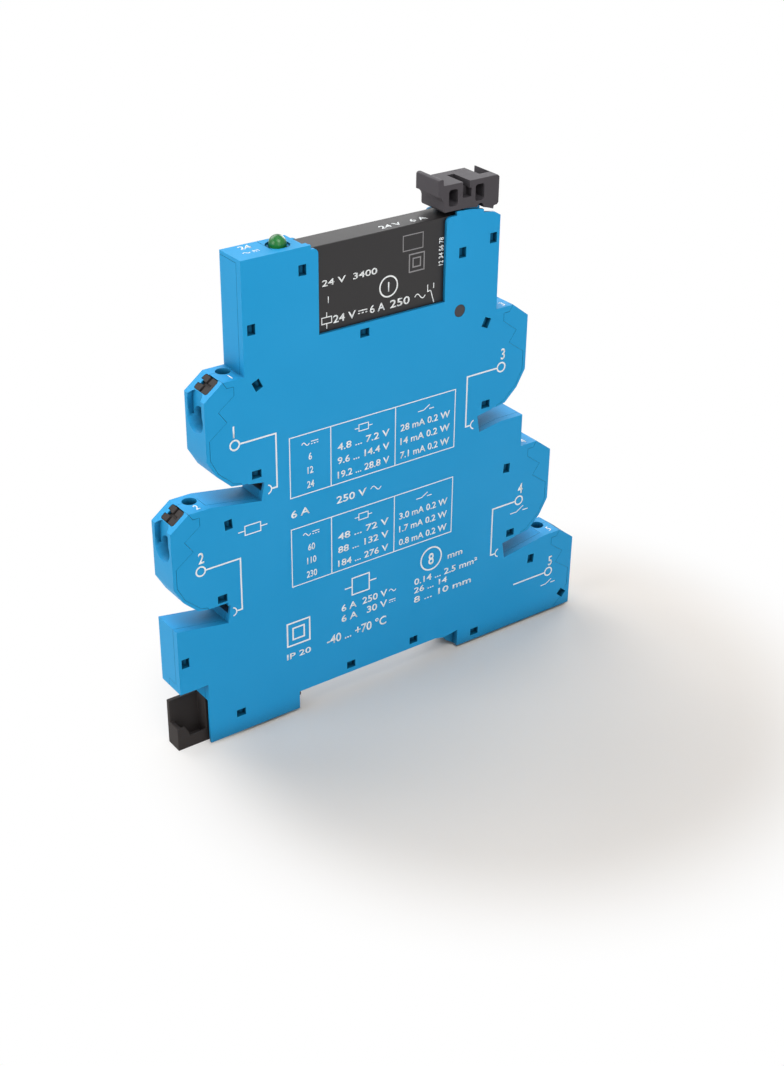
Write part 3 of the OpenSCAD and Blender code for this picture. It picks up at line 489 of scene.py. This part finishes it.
def ring(x, z, radius, width=0.28):
    """A printed ring, its middle and radius in mm."""
    return line(arc_points(x, z, radius, 0, 360, steps=40), width)


def alternating(x, z, wide, width=0.16):
    """The wave sign of alternating current, centred."""
    steps = 14
    rise = 0.2 * wide
    points = []
    for i in range(steps + 1):
        share = i / steps
        points.append((x + (share - 0.5) * wide, z + rise * math.sin(2 * math.pi * share)))
    return line(points, width)


def direct(x, z, wide, width=0.16):
    """The sign of direct current: a bar over three short ones, centred."""
    apart = 0.22
    bars = [line([(x - wide / 2, z + apart), (x + wide / 2, z + apart)], width)]
    dash = wide / 5
    for i in range(3):
        start = x - wide / 2 + 2 * i * dash
        bars.append(line([(start, z - apart), (start + dash, z - apart)], width))
    return bars


def open_contact(x, z, wide, width=0.18):
    """A lead, an open blade and a lead: the sign of a contact that closes, centred."""
    half = wide / 2
    pivot = x - 0.3 * half
    tip = 0.45 * half
    return [
        line([(x - half, z), (pivot, z), (x + tip, z + tip)], width),
        line([(x + 0.4 * half, z), (x + half, z)], width),
    ]


def coil_sign(x, z, wide, high, width=0.18):
    """A coil: a box with a lead at each side, centred."""
    body = 0.27 * wide
    return [
        box_line(x - body, z - high / 2, x + body, z + high / 2, width),
        line([(x - wide / 2, z), (x - body - width / 2, z)], width),
        line([(x + body + width / 2, z), (x + wide / 2, z)], width),
    ]


def double_square(x, z, size, width=0.3):
    """A square in a square, centred."""
    half = size / 2
    inner = 0.5 * half
    return [
        box_line(x - half, z - half, x + half, z + half, width),
        box_line(x - inner, z - inner, x + inner, z + inner, width),
    ]


# Slabs of ink


def on_front(y):
    """Places a drawing in X and Z on a face that looks along -Y."""
    return lambda u, v, w: Vector((u, y - w, v))


def on_top(z):
    """Places a drawing in X and Y on a face that looks up."""
    return lambda u, v, w: Vector((u, v, z + w))


def add_loops(work, place, rings):
    """A thin slab of ink between closed loops: the outer outline and, if given, its hole."""
    low = [[work.verts.new(place(u, v, -INK_T)) for u, v in loop] for loop in rings]
    high = [[work.verts.new(place(u, v, INK_T)) for u, v in loop] for loop in rings]
    for loop_low, loop_high, way in zip(low, high, (1, -1)):
        count = len(loop_low)
        for i in range(count):
            j = (i + 1) % count
            quad = [loop_low[i], loop_low[j], loop_high[j], loop_high[i]]
            work.faces.new(quad[::way])
    if len(rings) == 1:
        work.faces.new(high[0])
        work.faces.new(low[0][::-1])
        return
    for i in range(len(rings[0])):
        j = (i + 1) % len(rings[0])
        work.faces.new([high[0][i], high[0][j], high[1][j], high[1][i]])
        work.faces.new([low[0][j], low[0][i], low[1][i], low[1][j]])


# The font's figures are this share of its size high
FIGURE_SHARE = 0.73
# Strokes are thickened by this share of the figures' height
STROKE_SHARE = 0.02
# Width of figures that have no set end, as a share of the font's own
NARROWING = 0.8


def figures(text, height, start, end, middle, turn=0.0):
    """Flat plain figures from start to end in mm, or round start where end is None."""
    curve = bpy.data.curves.new("figures", "FONT")
    curve.body = text
    curve.size = height * MM / FIGURE_SHARE
    curve.offset = STROKE_SHARE * height * MM
    curve.resolution_u = 3
    holder = bpy.data.objects.new("figures", curve)
    bpy.context.scene.collection.objects.link(holder)
    graph = bpy.context.evaluated_depsgraph_get()
    mesh = bpy.data.meshes.new_from_object(holder.evaluated_get(graph))
    bpy.data.objects.remove(holder)
    across = [v.co.x for v in mesh.vertices]
    wide = max(across) - min(across)
    squeeze = NARROWING if end is None else (end - start) * MM / wide
    shift = -(min(across) + max(across)) / 2
    centre = start if end is None else (start + end) / 2
    mesh.transform(
        Matrix.Translation((centre * MM, middle * MM, 0))
        @ Matrix.Rotation(math.radians(turn), 4, "Z")
        @ Matrix.Diagonal((squeeze, 1, 1, 1))
        @ Matrix.Translation((shift, -height * MM / 2, 0))
    )
    return mesh


def add_figures(work, place, mesh):
    """Raises flat figures by the ink's thickness on their face."""
    flat = bmesh.new()
    flat.from_mesh(mesh)
    bmesh.ops.remove_doubles(flat, verts=flat.verts, dist=WELD)
    made = bmesh.ops.extrude_face_region(flat, geom=flat.faces[:])
    raised = {g for g in made["geom"] if isinstance(g, bmesh.types.BMVert)}
    for vert in flat.verts:
        vert.co = place(vert.co.x, vert.co.y, INK_T if vert in raised else -INK_T)
    bmesh.ops.recalc_face_normals(flat, faces=flat.faces)
    merged = bpy.data.meshes.new("figures")
    flat.to_mesh(merged)
    flat.free()
    work.from_mesh(merged)
    bpy.data.meshes.remove(merged)


def printed(name, node, material, face, outlines, texts=()):
    """One piece of printing on a node: slabs of ink from outlines, and plain figures."""
    work = bmesh.new()
    for rings in outlines:
        add_loops(work, face, rings)
    for text in texts:
        add_figures(work, face, figures(*text))
    bmesh.ops.recalc_face_normals(work, faces=work.faces)
    mesh = bpy.data.meshes.new(name)
    work.to_mesh(mesh)
    work.free()
    piece = bpy.data.objects.new(name, mesh)
    bpy.context.scene.collection.objects.link(piece)
    cover(piece, material)
    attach(piece, BODY_OF[node])


# The printing itself, places in mm

# Terminals: middle of the ring, X where its lead turns down and Z where the lead ends,
# middle of the number beside it, and of the number on the terminal's flat top
TERMINALS = {
    "1": {
        "ring": (-29.2, 52.1),
        "turn_x": -21.5,
        "end_z": 42.35,
        "number": (-29.3, 54.5),
        "top_number": (-28.7, -1.6, 63.35),
    },
    "2": {
        "ring": (-36.5, 31.2),
        "turn_x": -29.0,
        "end_z": 21.35,
        "number": (-36.3, 33.7),
        "top_number": (-35.85, -1.5, 42.25),
    },
    "3": {
        "ring": (25.2, 52.1),
        "turn_x": 17.7,
        "end_z": 42.5,
        "number": (25.5, 54.6),
        "top_number": (25.85, -1.7, 63.35),
    },
    "4": {
        "ring": (31.0, 23.7),
        "turn_x": 24.8,
        "end_z": 13.9,
        "number": (31.2, 26.2),
        "top_number": (32.4, -1.6, 35.05),
    },
    "5": {
        "ring": (39.5, 5.4),
        "turn_x": 30.8,
        "end_z": None,
        "number": (39.85, 7.8),
        "top_number": (40.25, -1.5, 13.95),
    },
}
RING_R = 0.85
LEAD_W = 0.28
NUMBER_HIGH = 2.1
TOP_NUMBER_HIGH = 1.5
# The open arc at a lead's end: its radius, half of its angle and its width
SOCKET_R = 0.82
SOCKET_HALF = 78
SOCKET_W = 0.22
# How far a lead runs back towards its terminal before its open arc
LAST_STRETCH = 0.95


def terminal_lead(x, z, turn_x, end_z):
    """A ring's lead: straight to turn_x or, with end_z, down from there to an open arc."""
    way = 1 if turn_x > x else -1
    start = (x + way * (RING_R + LEAD_W / 2), z)
    if end_z is None:
        return [line([start, (turn_x, z)], LEAD_W)]
    end = turn_x - way * LAST_STRETCH
    facing = 0 if way > 0 else 180
    socket = arc_points(
        end - way * (SOCKET_R + LEAD_W / 2),
        end_z,
        SOCKET_R,
        facing - SOCKET_HALF,
        facing + SOCKET_HALF,
    )
    lead = [start, (turn_x, z), (turn_x, end_z), (end, end_z)]
    return [line(lead, LEAD_W), line(socket, SOCKET_W)]


def print_terminals():
    """Rings at the terminals, their leads with a socket at the end, and plain numbers."""
    outlines, texts = [], []
    for label, spots in TERMINALS.items():
        outlines.append(ring(*spots["ring"], RING_R, LEAD_W))
        outlines += terminal_lead(*spots["ring"], spots["turn_x"], spots["end_z"])
        number_x, number_z = spots["number"]
        texts.append((label, NUMBER_HIGH, number_x, None, number_z))
        top_x, top_y, top_z = spots["top_number"]
        on_its_top = [(label, TOP_NUMBER_HIGH, top_x, None, top_y)]
        name = f"terminal_number_{label}"
        printed(name, "front_cover", INK, on_top(top_z * MM), [], on_its_top)
    outlines += coil_sign(-26.4, 36.05, 5.6, 1.7)
    outlines += open_contact(31.2, 21.35, 4.2)
    outlines += open_contact(39.6, 2.7, 3.6)
    printed("terminal_printing", "front_cover", INK, on_front(FACE_Y), outlines, texts)


# Tables: X of the sides and of the rules between the columns, width of a rule, height of a row's
# figures, and for each table the Z of its top, bottom, head and rows
TABLE_SIDES = (-18.95, 15.18)
TABLE_COLUMNS = (-10.85, 2.38)
RULE_W = 0.17
ROW_HIGH = 1.3
TABLES = [
    {
        "top": 50.4,
        "bottom": 39.3,
        "head": 48.55,
        "rows": {
            46.15: ("6", "4.8 ... 7.2 V", "28 mA 0.2 W"),
            43.6: ("12", "9.6 ... 14.4 V", "14 mA 0.2 W"),
            40.95: ("24", "19.2 ... 28.8 V", "7.1 mA 0.2 W"),
        },
    },
    {
        "top": 33.3,
        "bottom": 22.1,
        "head": 31.5,
        "rows": {
            28.9: ("60", "48 ... 72 V", "3.0 mA 0.2 W"),
            26.3: ("110", "88 ... 132 V", "1.7 mA 0.2 W"),
            23.6: ("230", "184 ... 276 V", "0.8 mA 0.2 W"),
        },
    },
]
# From where to where the last two columns' words run, and the middle of each column's head
TABLE_SPANS = ((-9.5, 1.15), (3.5, 14.1))
HEAD_CENTRES = (-14.95, -4.2, 8.85)


def table_head(z):
    """Signs over the columns: kinds of current, coil, contact."""
    volts_x, coil_x, contact_x = HEAD_CENTRES
    beside = 0.9
    return [
        alternating(volts_x - beside, z, 1.5),
        *direct(volts_x + beside, z, 1.4),
        *coil_sign(coil_x, z, 3.6, 1.2, 0.16),
        *open_contact(contact_x, z - 0.3, 3.4, 0.16),
    ]


def print_tables():
    """Two ruled tables of coil voltage, its range and current, with signs as their heads."""
    outlines, texts = [], []
    left, right = TABLE_SIDES
    for table in TABLES:
        top, bottom = table["top"], table["bottom"]
        outlines.append(box_line(left, bottom, right, top, RULE_W))
        for x in TABLE_COLUMNS:
            ends = [(x, bottom + RULE_W / 2), (x, top - RULE_W / 2)]
            outlines.append(line(ends, RULE_W))
        outlines += table_head(table["head"])
        for z, (volts, span, current) in table["rows"].items():
            texts.append((volts, ROW_HIGH, HEAD_CENTRES[0], None, z))
            texts.append((span, ROW_HIGH, *TABLE_SPANS[0], z))
            texts.append((current, ROW_HIGH, *TABLE_SPANS[1], z))
    between_z = 36.2
    texts.append(("6 A", 1.4, -18.9, -15.2, between_z))
    texts.append(("250 V", 1.4, -9.76, -3.6, between_z))
    outlines.append(alternating(-1.6, between_z, 2.2))
    printed("table_printing", "front_cover", INK, on_front(FACE_Y), outlines, texts)


def print_ratings():
    """Ratings, wire sizes and plain signs along the foot of the printed side."""
    outlines = double_square(-17.9, 12.6, 4.6)
    outlines += coil_sign(-4.75, 17.9, 6.8, 3.4, 0.24)
    outlines.append(ring(10.8, 17.9, 2.3, 0.3))
    outlines.append(alternating(2.2, 14.2, 1.5))
    outlines += direct(2.2, 12.0, 1.4)
    texts = [
        ("8", 2.4, 10.8, None, 17.9),
        ("mm", 1.3, 14.6, 18.0, 17.2),
        ("6 A  250 V", 1.4, -8.85, 1.03, 14.2),
        ("6 A   30 V", 1.4, -8.85, 1.03, 12.0),
        ("-40 ... +70 °C", 1.8, -12.0, 0.9, 8.5),
        ("IP 20", 1.2, -20.4, -15.4, 8.2),
        ("0.14 ... 2.5 mm²", 1.3, 7.1, 21.6, 14.1),
        ("26 ... 14", 1.2, 7.1, 14.6, 12.3),
        ("8 ... 10 mm", 1.3, 7.1, 20.3, 10.3),
    ]
    printed("rating_printing", "front_cover", INK, on_front(FACE_Y), outlines, texts)


def print_relay():
    """Coil and contact data on the relay's side and top."""
    face = on_front(CASE_LOW.y)
    outlines = [
        box_line(-12.0, 68.5, -10.1, 69.57, 0.16),
        line([(-11.05, 69.65), (-11.05, 70.4)], 0.16),
        line([(-11.05, 68.42), (-11.05, 67.6)], 0.16),
        alternating(7.5, 69.1, 2.2),
        line([(9.05, 70.75), (9.07, 69.52), (9.64, 69.68)], 0.16),
        line([(10.3, 70.83), (10.3, 69.9)], 0.16),
        line([(9.7, 69.6), (10.4, 67.39)], 0.16),
        ring(1.09, 72.16, 1.75, 0.26),
    ]
    outlines += direct(-4.05, 69.0, 1.8)
    texts = [
        ("24 V  3400", 1.1, -11.9, -1.2, 75.4),
        ("1", 1.15, -10.7, None, 72.5),
        ("24 V", 1.35, -9.8, -5.4, 68.93),
        ("6 A", 1.4, -2.6, 0.4, 69.0),
        ("250", 1.4, 1.4, 5.4, 69.0),
        ("1", 1.7, 1.09, None, 72.16),
        ("12 34 56 78", 0.95, 11.65, None, 76.0, 90),
    ]
    printed("relay_printing", "relay_case", INK, face, outlines, texts)
    faint = double_square(6.7, 75.2, 3.0, 0.22)
    faint.append(box_line(3.9, 77.5, 7.9, 80.1, 0.16))
    printed("relay_marks", "relay_case", FAINT_INK, face, faint)
    top_texts = [("24 V   6 A", 1.3, 0.4, 9.6, -0.8)]
    printed("relay_top_printing", "relay_case", INK, on_top(CASE_HIGH.z), [], top_texts)


def print_cap():
    """The coil voltage and its signs beside the indicator."""
    outlines = [alternating(-24.3, -0.5, 1.2)] + direct(-22.6, -0.5, 1.2)
    texts = [("24", 1.4, -24.3, -22.3, 1.8)]
    printed("cap_printing", "front_cover", INK, on_top(CAP_TOP), outlines, texts)


# Putting it together


# Roundings of the edges, in mm
ROUNDINGS = {
    "rear_shell": 0.14,
    "front_cover": 0.14,
    "retaining_lever": 0.16,
    "rail_clip": 0.14,
    "relay_case": 0.22,
    "status_led": 0.04,
    "capacitor": 0.12,
    "coil_winding": 0.05,
    **{f"release_button_{i}": 0.12 for i in range(1, 6)},
}


def dress_nodes():
    """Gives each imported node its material, and the listed ones a rounded copy."""
    for name, node in NODES.items():
        cover(node, MATERIALS[SLOT_OF[name]])
    for name, radius in ROUNDINGS.items():
        cover(rounded_copy(name, radius * MM), MATERIALS[SLOT_OF[name]])


# The studio

# The point that the lights look at
AIM = Vector((0, 0, 40 * MM))
# Soft lights: name, place and size in metres, and power in watts
LIGHTS = [
    ("back_left", (-0.26, 0.54, 0.52), 0.5, 2.4),
    ("back", (0.05, 0.6, 0.55), 0.5, 2.0),
    ("right_back", (0.45, 0.62, 0.47), 0.5, 0.2),
    ("overhead", (0.0, 0.05, 0.85), 0.5, 0.5),
    ("front_low", (-0.15, -0.75, 0.12), 0.5, 1.2),
    ("front_near", (-0.05, -0.2, 0.3), 0.2, 0.65),
    ("left", (-0.75, 0.0, 0.3), 0.5, 2.6),
    ("right", (0.7, 0.4, 0.3), 0.5, 3.6),
]
ROOM_LIGHT = 0.01
FLOOR_COLOUR = (0.8, 0.755, 0.71, 1)
FLOOR_HALF = 3.0
# The floor turns to plain white between these distances from the middle of the shadow
SHADOW_MIDDLE = (15 * MM, -20 * MM, FLOOR_Z)
FLOOR_NEAR, FLOOR_FAR = 42 * MM, 70 * MM


def area_light(name, place, size, power):
    """A square soft light that looks at AIM."""
    data = bpy.data.lights.new(name, "AREA")
    data.size = size
    data.energy = power
    light = bpy.data.objects.new(name, data)
    bpy.context.scene.collection.objects.link(light)
    light.location = place
    light.rotation_mode = "QUATERNION"
    light.rotation_quaternion = (AIM - Vector(place)).to_track_quat("-Z", "Y")


def seen_directly(tree):
    """1 for what the camera sees itself, in gloss or through a clear piece, else 0."""
    path = tree.nodes.new("ShaderNodeLightPath")
    flags = [path.outputs[f"Is {kind} Ray"] for kind in ("Camera", "Glossy", "Transmission")]
    pair = add_node(tree, "ShaderNodeMath", {0: flags[0], 1: flags[1]}, operation="MAXIMUM")
    seen = add_node(tree, "ShaderNodeMath", {0: pair.outputs[0], 1: flags[2]}, operation="MAXIMUM")
    return seen.outputs[0]


def room():
    """A faint even room light, which is plain white to the camera, in gloss and seen through."""
    world = bpy.data.worlds.new("room")
    bpy.context.scene.world = world
    world.use_nodes = True
    tree = world.node_tree
    sky = tree.nodes["Background"]
    level = add_node(
        tree, "ShaderNodeMapRange", {"Value": seen_directly(tree)}, To_Min=ROOM_LIGHT, To_Max=1.0
    )
    tree.links.new(level.outputs["Result"], sky.inputs["Strength"])
    sky.inputs["Color"].default_value = (1, 1, 1, 1)


def white_floor():
    """A pale floor that keeps the object's shadow and is plain white further out."""
    work = bmesh.new()
    corners = [(-1, -1), (1, -1), (1, 1), (-1, 1)]
    work.faces.new([work.verts.new((x * FLOOR_HALF, y * FLOOR_HALF, FLOOR_Z)) for x, y in corners])
    mesh = bpy.data.meshes.new("floor")
    work.to_mesh(mesh)
    work.free()
    floor = bpy.data.objects.new("floor", mesh)
    bpy.context.scene.collection.objects.link(floor)
    material, tree, shader = new_material("floor_white")
    shader.inputs["Base Color"].default_value = FLOOR_COLOUR
    shader.inputs["Roughness"].default_value = 0.9
    shader.inputs["Specular IOR Level"].default_value = 0.0
    place = add_node(tree, "ShaderNodeTexCoord").outputs["Object"]
    reach = add_node(tree, "ShaderNodeVectorMath", {0: place}, operation="DISTANCE")
    reach.inputs[1].default_value = SHADOW_MIDDLE
    away = add_node(
        tree,
        "ShaderNodeMapRange",
        {"Value": reach.outputs["Value"]},
        interpolation_type="SMOOTHSTEP",
        From_Min=FLOOR_NEAR,
        From_Max=FLOOR_FAR,
    )
    white = add_node(tree, "ShaderNodeEmission", Strength=1.0)
    both = add_node(
        tree,
        "ShaderNodeMixShader",
        {
            0: product(tree, away.outputs["Result"], seen_directly(tree)),
            1: shader.outputs[0],
            2: white.outputs[0],
        },
    )
    tree.links.new(both.outputs[0], tree.nodes["Material Output"].inputs["Surface"])
    cover(floor, material)


set_up_camera()
dress_nodes()
print_terminals()
print_tables()
print_ratings()
print_relay()
print_cap()
for light in LIGHTS:
    area_light(*light)
room()
white_floor()
bpy.context.scene.view_settings.view_transform = "Standard"
